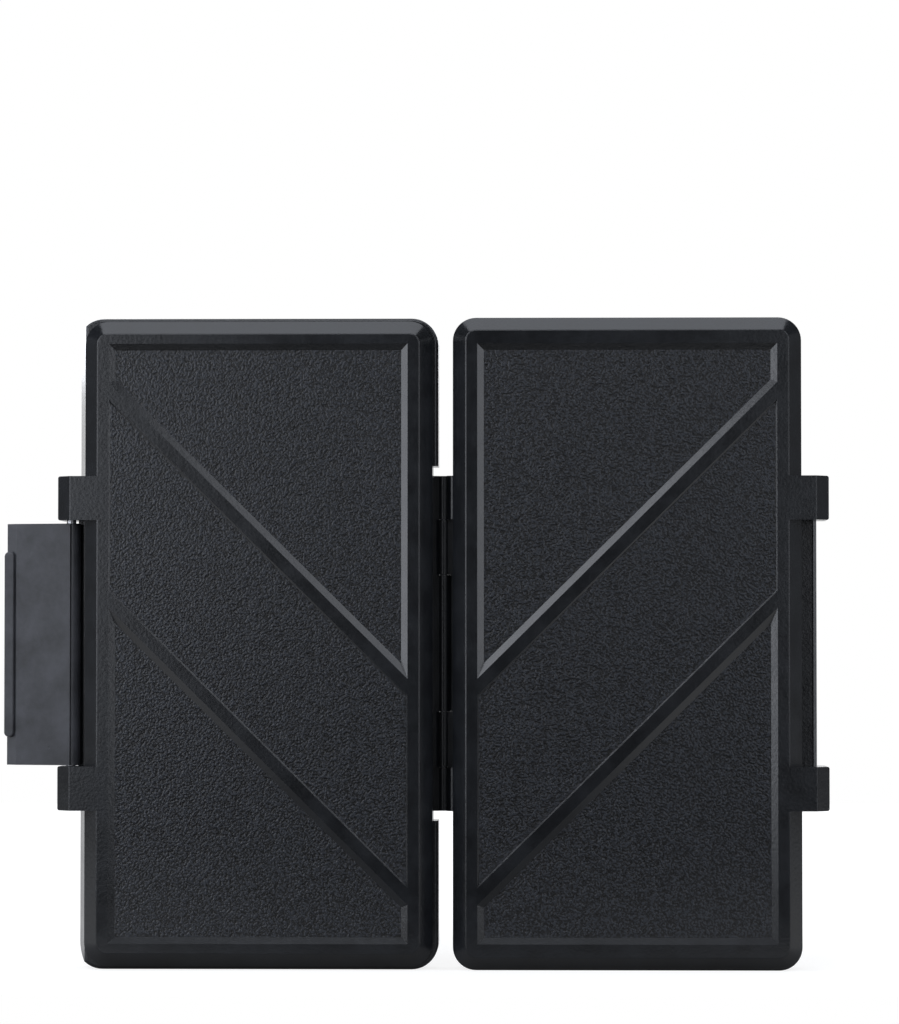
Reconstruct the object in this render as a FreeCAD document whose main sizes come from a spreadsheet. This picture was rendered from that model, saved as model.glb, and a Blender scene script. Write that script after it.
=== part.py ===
import FreeCAD, Part
import math
import os
from types import SimpleNamespace

import Sketcher

# A palm-sized hard case for memory cards, opened flat and standing on edge like a book.
# Two moulded shells share a hinge along Z. The base carries the latch, the lid the catch.
# Outer faces look towards -Y, the insides towards +Y. While the case is modelled, X and Y
# are zero on the hinge axis, Z is zero at mid length, and a "level" is a distance from the
# mating plane towards the outer faces. A "reach" is a distance from the hinge axis along X.

SIZES = {
    # Shells
    "shell_width": 64.4,
    "base_length": 119.2,
    "half_depth": 11.0,
    "wall_thickness": 2.6,
    "face_thickness": 2.4,
    "corner_radius": 4.3,
    "cavity_corner": 1.8,
    "face_bevel": 2.43,
    "edge_round": 0.35,
    "closing_gap": 0.2,
    # Lip round the base rim
    "end_lip_reach": 0.65,
    "hinge_lip_reach": 1.05,
    "latch_lip_reach": 1.65,
    "lip_thickness": 7.5,
    "lip_round": 0.6,
    "lip_latch_room": 0.3,
    # Diagonal relief of each outer face
    "relief_margin": 4.55,
    "relief_end_margin": 4.25,
    "short_side": 7.2,
    "middle_side": 35.4,
    "ridge_height": 3.1,
    "deep_panel_depth": 0.8,
    "deep_wall_run": 1.2,
    "middle_panel_depth": 0.25,
    "middle_wall_run": 0.28,
    # Tongue of the base, groove and seal of the lid
    "tongue_inset": 0.9,
    "tongue_width": 0.8,
    "tongue_height": 1.0,
    "tongue_clearance": 0.25,
    "seal_thickness": 0.8,
    "seal_clearance": 0.05,
    "seal_tip_gap": 0.3,
    # Hinge
    "hinge_offset": 1.88,
    "barrel_radius": 1.7,
    "hinge_pin_radius": 0.8,
    "base_knuckle_start": 12.8,
    "base_knuckle_length": 10.2,
    "lid_knuckle_length": 8.1,
    "knuckle_gap": 0.1,
    "web_rise": 1.5,
    "web_reach": 1.33,
    "web_round": 1.2,
    "middle_web_level": 0.9,
    "hinge_ledge_reach": 0.55,
    "hinge_ledge_gap": 0.3,
    "saddle_reach": 1.1,
    "saddle_level": 0.7,
    "saddle_clearance": 0.15,
    "pin_engagement": 4.0,
    "lip_notch_margin": 1.6,
    "pin_recess": 0.4,
    "pin_chamfer": 0.2,
    "running_clearance": 0.05,
    # Ears beside the latch and the catch
    "ear_start": 22.75,
    "ear_width": 8.15,
    "ear_reach": 5.05,
    "ear_setback": 0.1,
    "ear_edge_round": 0.3,
    "ear_corner_round": 0.4,
    "latch_shelf_reach": 1.9,
    "latch_shelf_level": 2.2,
    # Latch, in its own frame on the latch pin
    "latch_pin_out": 3.0,
    "latch_pin_level": 4.4,
    "latch_pin_radius": 0.9,
    "latch_barrel_radius": 1.75,
    "latch_plate_length": 12.4,
    "latch_plate_thickness": 1.45,
    "latch_end_bevel_run": 2.1,
    "latch_end_bevel_drop": 0.8,
    "latch_end_gap": 0.3,
    "latch_drop": 0.2,
    "latch_edge_round": 0.3,
    "latch_groove_offset": 0.4,
    "latch_groove_width": 0.45,
    "latch_groove_depth": 0.5,
    "latch_rest_tilt": 15.0,
    "hook_gap": 0.2,
    "hook_width": 1.6,
    "hook_tip_reach": 1.5,
    "thumb_lip_length": 34.5,
    "thumb_lip_width": 2.0,
    "thumb_lip_overhang": 0.2,
    "thumb_lip_rise": 0.45,
    "thumb_lip_corner": 0.9,
    "thumb_lip_round": 0.35,
    "gate_mark_radius": 0.3,
    "gate_mark_depth": 0.12,
    "gate_mark_from_pin": 3.6,
    "gate_mark_from_end": 3.4,
    # Catch rail of the lid
    "rail_reach": 3.0,
    "rail_near_level": 2.3,
    "rail_far_level": 4.6,
    "rail_bevel": 0.7,
    "rail_lip_width": 0.6,
    "rail_lip_rise": 0.4,
    "rail_groove_width": 0.3,
    "rail_groove_depth": 0.6,
    # Card trays
    "tray_clearance": 0.2,
    "tray_headspace": 0.7,
    "tray_floor": 1.2,
    "card_rib": 3.2,
    "card_cross_rib": 3.95,
    "card_pocket_depth": 3.6,
    "card_pocket_corner": 1.0,
    "small_card_rib": 0.7,
    "small_pocket_end_margin": 8.65,
    "small_pocket_depth": 1.1,
    "scoop_bite": 4.0,
    "scoop_length": 13.0,
    "scoop_corner": 2.0,
    "core_margin": 1.2,
    # How far a cut runs past what it cuts, and how near counts as touching
    "overrun": 1.0,
    "tolerance": 0.001,
}
CARD_COLUMNS = 2
CARD_ROWS = 3
SMALL_CARDS_PER_POCKET = 2
BASE_SIDE = -1
LID_SIDE = 1


class Size:
    """A size that knows its value and the sheet formula that gives it."""

    def __init__(self, value, formula):
        self.value = value
        self.formula = formula

    def joined(self, sign, other, value):
        formula = other.formula if isinstance(other, Size) else str(other)
        return Size(value, f"({self.formula} {sign} {formula})")

    def __add__(self, other):
        return self.joined("+", other, self.value + plain(other))

    def __sub__(self, other):
        return self.joined("-", other, self.value - plain(other))

    def __mul__(self, other):
        return self.joined("*", other, self.value * plain(other))

    def __truediv__(self, other):
        return self.joined("/", other, self.value / plain(other))

    def __neg__(self):
        return Size(-self.value, f"(-1 * {self.formula})")


def plain(size):
    return size.value if isinstance(size, Size) else size


ON_AXIS = Size(0, "0")


def fill_sheet(doc):
    """Write the driving dimensions into the document's sheet and return them as Sizes."""
    sheet = doc.addObject("Spreadsheet::Sheet", "sizes")
    for row, (name, value) in enumerate(SIZES.items(), start=1):
        sheet.set(f"A{row}", name)
        sheet.set(f"B{row}", str(value))
        sheet.setAlias(f"B{row}", name)
    doc.recompute()
    return SimpleNamespace(**{name: Size(value, f"sizes.{name}") for name, value in SIZES.items()})


def bind(item, place, size):
    item.setExpression(place, size.formula)


def origin_item(body, role):
    return next(item for item in body.Origin.OriginFeatures if item.Role == role)


def sketch_on(body, name, role, level):
    """An empty sketch, parallel to one of the body's origin planes and a level away from it."""
    sketch = body.newObject("Sketcher::SketchObject", name)
    sketch.AttachmentSupport = [(origin_item(body, role), "")]
    sketch.MapMode = "FlatFace"
    bind(sketch, "AttachmentOffset.Base.z", level)
    return sketch


def face_sketch(body, name, level):
    """A sketch parallel to the outer faces: across is X, up is Z, and pads grow towards -Y."""
    return sketch_on(body, name, "XZ_Plane", level)


def section_sketch(body, name, height):
    """A sketch across the hinge: X and Y as they are, and pads grow towards +Z."""
    return sketch_on(body, name, "XY_Plane", height)


def bound_constraint(sketch, kind, elements, size):
    number = sketch.addConstraint(Sketcher.Constraint(kind, *elements, size.value))
    name = f"{kind}_{number}"
    sketch.renameConstraint(number, name)
    bind(sketch, f"Constraints.{name}", size)


def polygon(sketch, points):
    """A closed outline through points given as pairs of Sizes."""
    first = sketch.GeometryCount
    corners = [FreeCAD.Vector(across.value, up.value, 0) for across, up in points]
    for start, end in zip(corners, corners[1:] + corners[:1]):
        sketch.addGeometry(Part.LineSegment(start, end), False)
    for number, (across, up) in enumerate(points):
        line = first + number
        following = first + (number + 1) % len(points)
        sketch.addConstraint(Sketcher.Constraint("Coincident", line, 2, following, 1))
        bound_constraint(sketch, "DistanceX", (-1, 1, line, 1), across)
        bound_constraint(sketch, "DistanceY", (-1, 1, line, 1), up)


def rounded_rectangle(sketch, left, right, bottom, top, radius):
    """A rectangle with four equal corner arcs."""
    first = sketch.GeometryCount
    turn = math.pi / 2
    centres = [(right - radius, top - radius), (left + radius, top - radius),
               (left + radius, bottom + radius), (right - radius, bottom + radius)]
    points = [FreeCAD.Vector(across.value, up.value, 0) for across, up in centres]
    for corner, centre in enumerate(points):
        circle = Part.Circle(centre, FreeCAD.Vector(0, 0, 1), radius.value)
        sketch.addGeometry(Part.ArcOfCircle(circle, corner * turn, (corner + 1) * turn), False)
        away = FreeCAD.Vector(math.cos((corner + 1) * turn), math.sin((corner + 1) * turn), 0) * radius.value
        following = points[(corner + 1) % len(points)]
        sketch.addGeometry(Part.LineSegment(centre + away, following + away), False)
    count = 2 * len(points)
    for number in range(count):
        following = first + (number + 1) % count
        sketch.addConstraint(Sketcher.Constraint("Tangent", first + number, 2, following, 1))
    top_line, left_line, bottom_line, right_line = range(first + 1, first + count, 2)
    for line in (top_line, bottom_line):
        sketch.addConstraint(Sketcher.Constraint("Horizontal", line))
    for line in (left_line, right_line):
        sketch.addConstraint(Sketcher.Constraint("Vertical", line))
    for arc in range(first + 2, first + count, 2):
        sketch.addConstraint(Sketcher.Constraint("Equal", first, arc))
    bound_constraint(sketch, "Radius", (first,), radius)
    bound_constraint(sketch, "DistanceX", (-1, 1, left_line, 1), left)
    bound_constraint(sketch, "DistanceX", (-1, 1, right_line, 1), right)
    bound_constraint(sketch, "DistanceY", (-1, 1, bottom_line, 1), bottom)
    bound_constraint(sketch, "DistanceY", (-1, 1, top_line, 1), top)


def circle_at(sketch, radius, across=None, up=None):
    """A circle about the sketch's origin, or about the given place."""
    number = sketch.GeometryCount
    centre = FreeCAD.Vector(plain(across or 0), plain(up or 0), 0)
    sketch.addGeometry(Part.Circle(centre, FreeCAD.Vector(0, 0, 1), radius.value), False)
    bound_constraint(sketch, "Radius", (number,), radius)
    if across is None:
        sketch.addConstraint(Sketcher.Constraint("Coincident", number, 3, -1, 1))
        return
    bound_constraint(sketch, "DistanceX", (-1, 1, number, 3), across)
    bound_constraint(sketch, "DistanceY", (-1, 1, number, 3), up)


def pad(body, name, sketch, length):
    """Grow the sketch along its normal."""
    feature = body.newObject("PartDesign::Pad", name)
    feature.Profile = sketch
    bind(feature, "Length", length)
    sketch.Document.recompute()
    return feature


def pocket(body, name, sketch, length, along_normal):
    """Cut the sketch out of the body, along its normal or against it."""
    before = body.Shape.Volume
    feature = body.newObject("PartDesign::Pocket", name)
    feature.Profile = sketch
    feature.Reversed = along_normal
    bind(feature, "Length", length)
    sketch.Document.recompute()
    if feature.Shape.Volume >= before:
        raise RuntimeError(f"{name} of {body.Label} cuts nothing")
    return feature


def mirrored_ends(body, name, features):
    """Repeat features at the other end of the case."""
    feature = body.newObject("PartDesign::Mirrored", name)
    feature.Originals = features
    feature.MirrorPlane = (origin_item(body, "XY_Plane"), [""])
    body.Tip = feature
    body.Document.recompute()


def edges_where(shape, test):
    return [f"Edge{number}" for number, edge in enumerate(shape.Edges, start=1) if test(edge)]


def lies_at(edge, axis, place, tolerance):
    """Whether the whole edge lies in the plane where one coordinate has the given value."""
    points = [getattr(vertex.Point, axis) for vertex in edge.Vertexes]
    points.append(getattr(edge.valueAt((edge.FirstParameter + edge.LastParameter) / 2), axis))
    return all(abs(point - place.value) < tolerance.value for point in points)


def dress_edges(body, kind, name, edges, size):
    """A fillet or an even chamfer on named edges of the body's latest feature."""
    base = body.Tip
    feature = body.newObject(f"PartDesign::{kind}", name)
    feature.Base = (base, edges)
    bind(feature, "Radius" if kind == "Fillet" else "Size", size)
    body.Document.recompute()


def side_span(side, near, far):
    """The left and right X of a stretch between two reaches on one side of the hinge."""
    return (near, far) if side == LID_SIDE else (-far, -near)


def side_x(side, reach):
    return reach if side == LID_SIDE else -reach


def derive(sizes):
    """Add the places that several pieces share, all worked out from the driving dimensions."""
    s = sizes
    s.rim_level = s.closing_gap / 2
    s.near_wall = s.hinge_offset
    s.far_wall = s.hinge_offset + s.shell_width
    s.base_half_length = s.base_length / 2
    s.lid_half_length = s.base_half_length + s.end_lip_reach
    s.cavity_near = s.near_wall + s.wall_thickness
    s.cavity_far = s.far_wall - s.wall_thickness
    s.cavity_half_length = s.base_half_length - s.wall_thickness
    s.floor_level = s.half_depth - s.face_thickness
    s.base_knuckle_end = s.base_knuckle_start + s.base_knuckle_length
    s.lid_knuckle_start = s.base_knuckle_end + s.knuckle_gap
    s.lid_knuckle_end = s.lid_knuckle_start + s.lid_knuckle_length
    s.web_level = s.barrel_radius + s.web_rise
    s.web_end = s.near_wall - s.web_reach
    s.ear_end = s.ear_start + s.ear_width
    s.latch_pin_reach = s.far_wall + s.latch_pin_out
    s.groove_depth = s.tongue_height + s.seal_tip_gap + s.seal_thickness - s.closing_gap
    s.tray_top_level = s.rim_level + s.tray_headspace
    return s


def ring(sketch, side, s, inset, width):
    """Two nested rounded rectangles that follow the rim, an inset from the base's outline."""
    for step in (inset, inset + width):
        rounded_rectangle(sketch, *side_span(side, s.near_wall + step, s.far_wall - step),
                          step - s.base_half_length, s.base_half_length - step, s.corner_radius - step)


def sunk_panel(body, name, s, side, corners, floor_corners, depth):
    """Sink one panel of the outer face, with walls that slope from its outline to its floor."""
    outline = face_sketch(body, f"{name}_outline", s.half_depth)
    polygon(outline, [(side_x(side, reach), up) for reach, up in corners])
    floor = face_sketch(body, f"{name}_floor", s.half_depth - depth)
    polygon(floor, [(side_x(side, reach), up) for reach, up in floor_corners])
    cut = body.newObject("PartDesign::SubtractiveLoft", name)
    cut.Profile = outline
    cut.Sections = [floor]
    cut.Ruled = True
    body.Document.recompute()


def diagonal_relief(body, s, side):
    """Two deep end panels and a shallow middle one, parted by two diagonal ridges."""
    far = s.far_wall - s.relief_margin
    near = s.near_wall + s.relief_margin
    top = s.base_half_length - s.relief_end_margin
    long_side = top * 2 - s.short_side - s.middle_side - s.ridge_height * 2
    slope = (long_side - s.short_side) / (far - near)
    stretch = Size(math.sqrt(1 + slope.value ** 2), f"sqrt(1 + {slope.formula}^2)")

    run = s.deep_wall_run
    lift = run * stretch
    for name, sign in (("upper_panel", 1), ("lower_panel", -1)):
        ends = (far, near) if sign == 1 else (near, far)
        inward = -run if sign == 1 else run
        outline = [(ends[0], top), (ends[1], top), (ends[1], top - long_side), (ends[0], top - s.short_side)]
        short_floor = top - s.short_side - slope * run + lift
        long_floor = top - long_side + slope * run + lift
        floor = [(ends[0] + inward, top - run), (ends[1] - inward, top - run),
                 (ends[1] - inward, long_floor), (ends[0] + inward, short_floor)]
        sunk_panel(body, name, s, side, [(reach, up * sign) for reach, up in outline],
                   [(reach, up * sign) for reach, up in floor], s.deep_panel_depth)

    run = s.middle_wall_run
    lift = run * stretch
    far_top = top - s.short_side - s.ridge_height
    near_top = top - long_side - s.ridge_height
    outline = [(far, far_top), (near, near_top),
               (near, near_top - s.middle_side), (far, far_top - s.middle_side)]
    floor = [(far - run, far_top - slope * run - lift), (near + run, near_top + slope * run - lift),
             (near + run, near_top - s.middle_side + slope * run + lift),
             (far - run, far_top - s.middle_side - slope * run + lift)]
    sunk_panel(body, "middle_panel", s, side, outline, floor, s.middle_panel_depth)


def ear(body, s, side):
    """One block beside the latch or the catch, flush with the outer face and bevelled like it."""
    root = side_x(side, s.cavity_far)
    end = side_x(side, s.far_wall + s.ear_reach)
    bevel_start = side_x(side, s.far_wall + s.ear_reach - s.face_bevel)
    back = s.rim_level + s.ear_setback
    sketch = section_sketch(body, "ear_section", s.ear_start)
    polygon(sketch, [(root, -s.half_depth), (bevel_start, -s.half_depth),
                     (end, s.face_bevel - s.half_depth), (end, -back), (root, -back)])
    return pad(body, "ear", sketch, s.ear_width)


def knuckle(body, s, side, name, start, length, web_end, web_level):
    """One hinge barrel with the web that carries it from the shell's wall."""
    barrel_sketch = section_sketch(body, f"{name}_section", start)
    circle_at(barrel_sketch, s.barrel_radius)
    barrel = pad(body, name, barrel_sketch, length)
    web_sketch = section_sketch(body, f"{name}_web_section", start)
    end = side_x(side, web_end)
    root = side_x(side, s.near_wall + s.wall_thickness / 2)
    polygon(web_sketch, [(end, -s.rim_level), (root, -s.rim_level), (root, -web_level), (end, -web_level)])
    return [barrel, pad(body, f"{name}_web", web_sketch, length)]


def round_ears(body, s, side):
    """Soften each ear's outer corners, and the line where its flat top turns into its bevel."""
    end = side_x(side, s.far_wall + s.ear_reach)
    flanks = [s.ear_start, s.ear_end, -s.ear_start, -s.ear_end]
    corners = edges_where(body.Shape, lambda edge: lies_at(edge, "x", end, s.tolerance)
                          and any(lies_at(edge, "z", flank, s.tolerance) for flank in flanks))
    dress_edges(body, "Fillet", "ear_corner_round", corners, s.ear_corner_round)
    bevel_start = side_x(side, s.far_wall + s.ear_reach - s.face_bevel)
    lines = edges_where(body.Shape, lambda edge: lies_at(edge, "x", bevel_start, s.tolerance))
    dress_edges(body, "Fillet", "ear_round", lines, s.ear_edge_round)


def round_webs(body, s, side):
    """Round the webs towards the hinge axis."""
    end = side_x(side, s.web_end)
    lines = edges_where(body.Shape, lambda edge: lies_at(edge, "x", end, s.tolerance)
                        and lies_at(edge, "y", -s.web_level, s.tolerance))
    dress_edges(body, "Fillet", "web_round", lines, s.web_round)


def hinge_ledge(body, s):
    """A narrow ledge on the base's wall that runs above the middle of the hinge."""
    sketch = section_sketch(body, "hinge_ledge_section", -s.base_knuckle_end)
    root = -s.near_wall - s.wall_thickness / 2
    edge = s.hinge_ledge_reach - s.near_wall
    low = s.barrel_radius + s.hinge_ledge_gap
    polygon(sketch, [(root, -low), (edge, -low), (edge, -s.web_level), (root, -s.web_level)])
    pad(body, "hinge_ledge", sketch, s.base_knuckle_end * 2)


def saddle(body, s, side, name, start, length):
    """A ledge on a shell's wall, hollowed for the other shell's knuckle, that closes the slit beside it."""
    root = side_x(side, s.near_wall + s.wall_thickness / 2)
    tip = side_x(side, s.near_wall - s.saddle_reach)
    top = s.barrel_radius + s.hinge_ledge_gap
    ledge_sketch = section_sketch(body, f"{name}_section", start)
    polygon(ledge_sketch, [(root, -s.saddle_level), (tip, -s.saddle_level), (tip, -top), (root, -top)])
    ledge = pad(body, name, ledge_sketch, length)
    seat_sketch = section_sketch(body, f"{name}_seat_section", start)
    circle_at(seat_sketch, s.barrel_radius + s.saddle_clearance)
    return [ledge, pocket(body, f"{name}_seat", seat_sketch, length, along_normal=True)]


def latch_shelf(body, s):
    """A low shelf on the base's wall, between the ears and behind the latch's barrel."""
    sketch = section_sketch(body, "latch_shelf_section", -s.ear_start)
    root = s.wall_thickness / 2 - s.far_wall
    edge = -s.far_wall - s.latch_shelf_reach
    polygon(sketch, [(root, -s.rim_level), (edge, -s.rim_level), (edge, -s.latch_shelf_level),
                     (root, -s.latch_shelf_level)])
    pad(body, "latch_shelf", sketch, s.ear_start * 2)


def hinge_bore(body, s, radius):
    end = s.lid_knuckle_end + s.overrun
    sketch = section_sketch(body, "hinge_bore_section", end)
    circle_at(sketch, radius)
    pocket(body, "hinge_bore", sketch, end * 2, along_normal=False)


def new_body(doc, label):
    body = doc.addObject("PartDesign::Body", label)
    body.Label = label
    return body


def shell_block(body, s, side, half_length):
    """The bevelled outer block of a shell, before it is hollowed."""
    sketch = face_sketch(body, "outline", s.rim_level)
    rounded_rectangle(sketch, *side_span(side, s.near_wall, s.far_wall), -half_length, half_length,
                      s.corner_radius)
    pad(body, "block", sketch, s.half_depth - s.rim_level)
    for kind, name, size in (("Chamfer", "face_bevel", s.face_bevel),
                             ("Fillet", "bevel_round", s.edge_round)):
        edges = edges_where(body.Shape, lambda edge: lies_at(edge, "y", -s.half_depth, s.tolerance))
        dress_edges(body, kind, name, edges, size)


def hollow(body, s, side):
    sketch = face_sketch(body, "cavity_outline", s.rim_level)
    rounded_rectangle(sketch, *side_span(side, s.cavity_near, s.cavity_far),
                      -s.cavity_half_length, s.cavity_half_length, s.cavity_corner)
    pocket(body, "cavity", sketch, s.floor_level - s.rim_level, along_normal=True)


def rim_lip(body, s):
    """The thicker band round the base's rim, left out beside the hinge and behind the latch.
    It tapers to the wall on the latch's side."""
    end = s.base_half_length + s.end_lip_reach
    near = s.near_wall - s.hinge_lip_reach
    far = s.far_wall + s.latch_lip_reach
    sketch = face_sketch(body, "lip_outline", s.rim_level)
    rounded_rectangle(sketch, *side_span(BASE_SIDE, near, far), -end, end, s.corner_radius + s.end_lip_reach)
    pad(body, "lip", sketch, s.lip_thickness)
    front = -s.rim_level - s.lip_thickness
    taper = section_sketch(body, "lip_taper_section", end + s.overrun)
    polygon(taper, [(-far, -s.rim_level), (-s.far_wall, front), (-s.far_wall, front - s.overrun),
                    (-far - s.overrun, front - s.overrun), (-far - s.overrun, -s.rim_level)])
    pocket(body, "lip_taper", taper, (end + s.overrun) * 2, along_normal=False)
    edges = edges_where(body.Shape, lambda edge: lies_at(edge, "y", front, s.tolerance))
    dress_edges(body, "Fillet", "lip_round", edges, s.lip_round)

    notches = face_sketch(body, "lip_notch_outlines", s.rim_level - s.overrun)
    hinge_end = s.lid_knuckle_end + s.lip_notch_margin
    latch_end = s.ear_start + s.lip_latch_room
    for start, stop, notch_end in ((near - s.overrun, s.near_wall, hinge_end),
                                   (s.far_wall, far + s.overrun, latch_end)):
        left, right = side_span(BASE_SIDE, start, stop)
        polygon(notches, [(left, -notch_end), (right, -notch_end), (right, notch_end), (left, notch_end)])
    pocket(body, "lip_notches", notches, s.lip_thickness + s.overrun * 2, along_normal=True)


def make_base_shell(doc, s):
    body = new_body(doc, "base_shell")
    rim_lip(body, s)
    shell_block(body, s, BASE_SIDE, s.base_half_length)
    paired = [ear(body, s, BASE_SIDE)]
    paired += knuckle(body, s, BASE_SIDE, "knuckle", s.base_knuckle_start, s.base_knuckle_length,
                      s.web_end, s.web_level)
    paired += saddle(body, s, BASE_SIDE, "saddle", s.base_knuckle_end, s.lid_knuckle_length + s.knuckle_gap)
    mirrored_ends(body, "ears_and_knuckles", paired)
    round_ears(body, s, BASE_SIDE)
    round_webs(body, s, BASE_SIDE)
    saddle(body, s, BASE_SIDE, "middle_saddle", -s.base_knuckle_start, s.base_knuckle_start * 2)
    hinge_ledge(body, s)
    latch_shelf(body, s)
    diagonal_relief(body, s, BASE_SIDE)
    hollow(body, s, BASE_SIDE)

    tongue_sketch = face_sketch(body, "tongue_outline", s.rim_level - s.tongue_height)
    ring(tongue_sketch, BASE_SIDE, s, s.tongue_inset, s.tongue_width)
    pad(body, "tongue", tongue_sketch, s.tongue_height)

    hinge_bore(body, s, s.hinge_pin_radius)
    bore_end = s.ear_end + s.overrun
    bore_sketch = section_sketch(body, "latch_bore_section", bore_end)
    circle_at(bore_sketch, s.latch_pin_radius, -s.latch_pin_reach, -s.latch_pin_level)
    pocket(body, "latch_bore", bore_sketch, bore_end * 2, along_normal=False)
    return body


def make_lid_shell(doc, s):
    body = new_body(doc, "lid_shell")
    shell_block(body, s, LID_SIDE, s.lid_half_length)
    paired = [ear(body, s, LID_SIDE)]
    paired += knuckle(body, s, LID_SIDE, "knuckle", s.lid_knuckle_start, s.lid_knuckle_length,
                      s.web_end, s.web_level)
    paired += saddle(body, s, LID_SIDE, "saddle", s.base_knuckle_start - s.knuckle_gap,
                     s.base_knuckle_length + s.knuckle_gap * 2)
    mirrored_ends(body, "ears_and_knuckles", paired)
    round_ears(body, s, LID_SIDE)
    round_webs(body, s, LID_SIDE)
    middle_half = s.base_knuckle_start - s.knuckle_gap
    knuckle(body, s, LID_SIDE, "middle_knuckle", -middle_half, middle_half * 2, ON_AXIS, s.middle_web_level)

    root = s.far_wall - s.wall_thickness / 2
    end = s.far_wall + s.rail_reach
    rail_sketch = section_sketch(body, "catch_rail_section", -s.ear_start)
    shelf = s.rail_lip_rise - s.rail_far_level
    lip_start = end - s.rail_lip_width
    groove_start = lip_start - s.rail_groove_width
    groove_floor = shelf + s.rail_groove_depth
    polygon(rail_sketch, [(root, -s.rail_near_level), (end - s.rail_bevel, -s.rail_near_level),
                          (end, -s.rail_near_level - s.rail_bevel), (end, shelf),
                          (lip_start, -s.rail_far_level), (lip_start, groove_floor),
                          (groove_start, groove_floor), (groove_start, shelf), (root, shelf)])
    pad(body, "catch_rail", rail_sketch, s.ear_start * 2)

    diagonal_relief(body, s, LID_SIDE)
    hollow(body, s, LID_SIDE)
    groove_sketch = face_sketch(body, "groove_outline", s.rim_level)
    ring(groove_sketch, LID_SIDE, s, s.tongue_inset - s.tongue_clearance,
         s.tongue_width + s.tongue_clearance * 2)
    pocket(body, "groove", groove_sketch, s.groove_depth, along_normal=True)
    hinge_bore(body, s, s.hinge_pin_radius + s.running_clearance)
    return body


def make_seal_ring(doc, s):
    """The soft ring at the bottom of the lid's groove, which the tongue closes against."""
    body = new_body(doc, "seal_ring")
    bottom = s.rim_level + s.groove_depth
    sketch = face_sketch(body, "seal_outline", bottom - s.seal_thickness)
    side_room = s.tongue_clearance - s.seal_clearance
    ring(sketch, LID_SIDE, s, s.tongue_inset - side_room, s.tongue_width + side_room * 2)
    pad(body, "seal", sketch, s.seal_thickness)
    return body


def make_card_tray(doc, label, s, side):
    """A soft insert with card pockets, smaller pockets in their floors, and finger scoops."""
    body = new_body(doc, label)
    left, right = side_span(side, s.cavity_near + s.tray_clearance, s.cavity_far - s.tray_clearance)
    top = s.cavity_half_length - s.tray_clearance
    thickness = s.floor_level - s.tray_top_level
    outline = face_sketch(body, "tray_outline", s.tray_top_level)
    rounded_rectangle(outline, left, right, -top, top, s.cavity_corner - s.tray_clearance)
    pad(body, "tray", outline, thickness)

    width = (right - left - s.card_rib * (CARD_COLUMNS + 1)) / CARD_COLUMNS
    length = (top * 2 - s.card_cross_rib * (CARD_ROWS + 1)) / CARD_ROWS
    lefts = [left + s.card_rib * (column + 1) + width * column for column in range(CARD_COLUMNS)]
    bottoms = [s.card_cross_rib * (row + 1) + length * row - top for row in range(CARD_ROWS)]
    corners = [(across, up) for across in lefts for up in bottoms]

    pockets = face_sketch(body, "card_pocket_outlines", s.tray_top_level)
    for across, up in corners:
        rounded_rectangle(pockets, across, across + width, up, up + length, s.card_pocket_corner)
    pocket(body, "card_pockets", pockets, s.card_pocket_depth, along_normal=True)

    small_width = (width - s.small_card_rib * (SMALL_CARDS_PER_POCKET + 1)) / SMALL_CARDS_PER_POCKET
    small = face_sketch(body, "small_pocket_outlines", s.tray_top_level + s.card_pocket_depth)
    for across, up in corners:
        for number in range(SMALL_CARDS_PER_POCKET):
            start = across + s.small_card_rib * (number + 1) + small_width * number
            end = start + small_width
            low = up + s.small_pocket_end_margin
            high = up + length - s.small_pocket_end_margin
            polygon(small, [(start, low), (end, low), (end, high), (start, high)])
    pocket(body, "small_pockets", small, s.small_pocket_depth, along_normal=True)

    scoops = face_sketch(body, "scoop_outlines", s.tray_top_level)
    scoop_left = lefts[0] + width - s.scoop_bite
    scoop_right = lefts[-1] + s.scoop_bite
    for up in bottoms:
        middle = up + length / 2
        rounded_rectangle(scoops, scoop_left, scoop_right, middle - s.scoop_length / 2,
                          middle + s.scoop_length / 2, s.scoop_corner)
    pocket(body, "finger_scoops", scoops, s.card_pocket_depth, along_normal=True)

    cores = face_sketch(body, "core_outlines", s.floor_level)
    for across, up in corners:
        start = across + s.core_margin
        end = across + width - s.core_margin
        low = up + s.core_margin
        high = up + length - s.core_margin
        polygon(cores, [(start, low), (end, low), (end, high), (start, high)])
    core_depth = thickness - s.card_pocket_depth - s.small_pocket_depth - s.tray_floor
    pocket(body, "underside_cores", cores, core_depth, along_normal=False)
    return body


def make_pin(doc, label, s, radius, low, length):
    """A plain steel pin along Z with chamfered ends."""
    body = new_body(doc, label)
    sketch = section_sketch(body, "pin_section", low)
    circle_at(sketch, radius)
    pad(body, "pin", sketch, length)
    ends = edges_where(body.Shape, lambda edge: len(edge.Vertexes) == 1)
    dress_edges(body, "Chamfer", "pin_ends", ends, s.pin_chamfer)
    return body


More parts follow.
